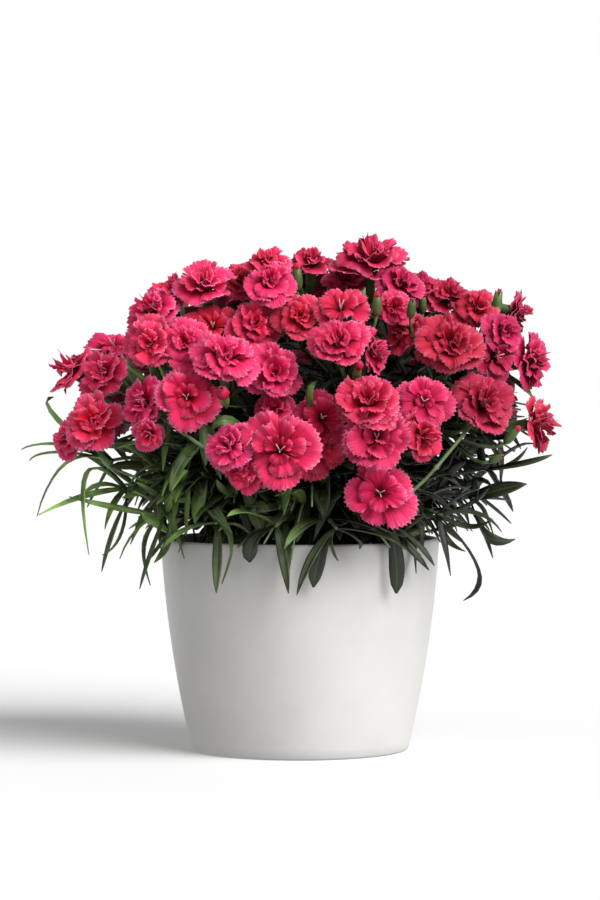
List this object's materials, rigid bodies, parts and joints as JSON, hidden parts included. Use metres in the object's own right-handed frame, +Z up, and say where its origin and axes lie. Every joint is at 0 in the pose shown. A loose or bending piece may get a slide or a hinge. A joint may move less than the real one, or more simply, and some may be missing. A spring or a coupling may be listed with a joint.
{
  "type": "potted dianthus",
  "caption": "Bushy dwarf dianthus in full bloom, with double pink flowers on leafy stems, standing in the soil of a plain round pot.",
  "frame": {"origin": "centre of the pot's flat underside, on the surface that the pot stands on", "axes": "+Z up along the pot's axis, front of the plant towards -Y, +X to the right as seen from the front"},
  "size_m": [0.2741, 0.2263, 0.2651],
  "materials": {
    "glaze": "white satin glaze",
    "soil": "damp dark peat compost",
    "leaf": "matt green leaf with a thin grey bloom",
    "petal": "velvety crimson pink petal with a paler toothed rim"
  },
  "bodies": {
    "root": {"pot": "glaze", "soil": "soil", "leafy_stem_1": "leaf", "leafy_stem_2": "leaf", "leafy_stem_3": "leaf", "leafy_stem_4": "leaf", "leafy_stem_5": "leaf", "leafy_stem_6": "leaf", "leafy_stem_7": "leaf", "leafy_stem_8": "leaf", "leafy_stem_9": "leaf", "bloom_1": "petal", "bloom_2": "petal", "bloom_3": "petal", "bloom_4": "petal", "bloom_5": "petal", "bloom_6": "petal", "bloom_7": "petal", "bloom_8": "petal", "bloom_9": "petal", "bloom_10": "petal", "bloom_11": "petal", "bloom_12": "petal", "bloom_13": "petal", "bloom_14": "petal", "bloom_15": "petal", "bloom_16": "petal", "bloom_17": "petal", "bloom_18": "petal", "bloom_19": "petal", "bloom_20": "petal", "bloom_21": "petal", "bloom_22": "petal", "bloom_23": "petal", "bloom_24": "petal", "bloom_25": "petal", "bloom_26": "petal", "bloom_27": "petal", "bloom_28": "petal", "bloom_29": "petal", "bloom_30": "petal", "bloom_31": "petal", "bloom_32": "petal", "bloom_33": "petal", "bloom_34": "petal", "bloom_35": "petal", "bloom_36": "petal", "bloom_37": "petal", "bloom_38": "petal", "bloom_39": "petal", "bloom_40": "petal", "bloom_41": "petal", "bloom_42": "petal", "bloom_43": "petal", "bloom_44": "petal", "bloom_45": "petal", "bloom_46": "petal", "bloom_47": "petal", "bloom_48": "petal", "bloom_49": "petal"}
  },
  "joints": []
}
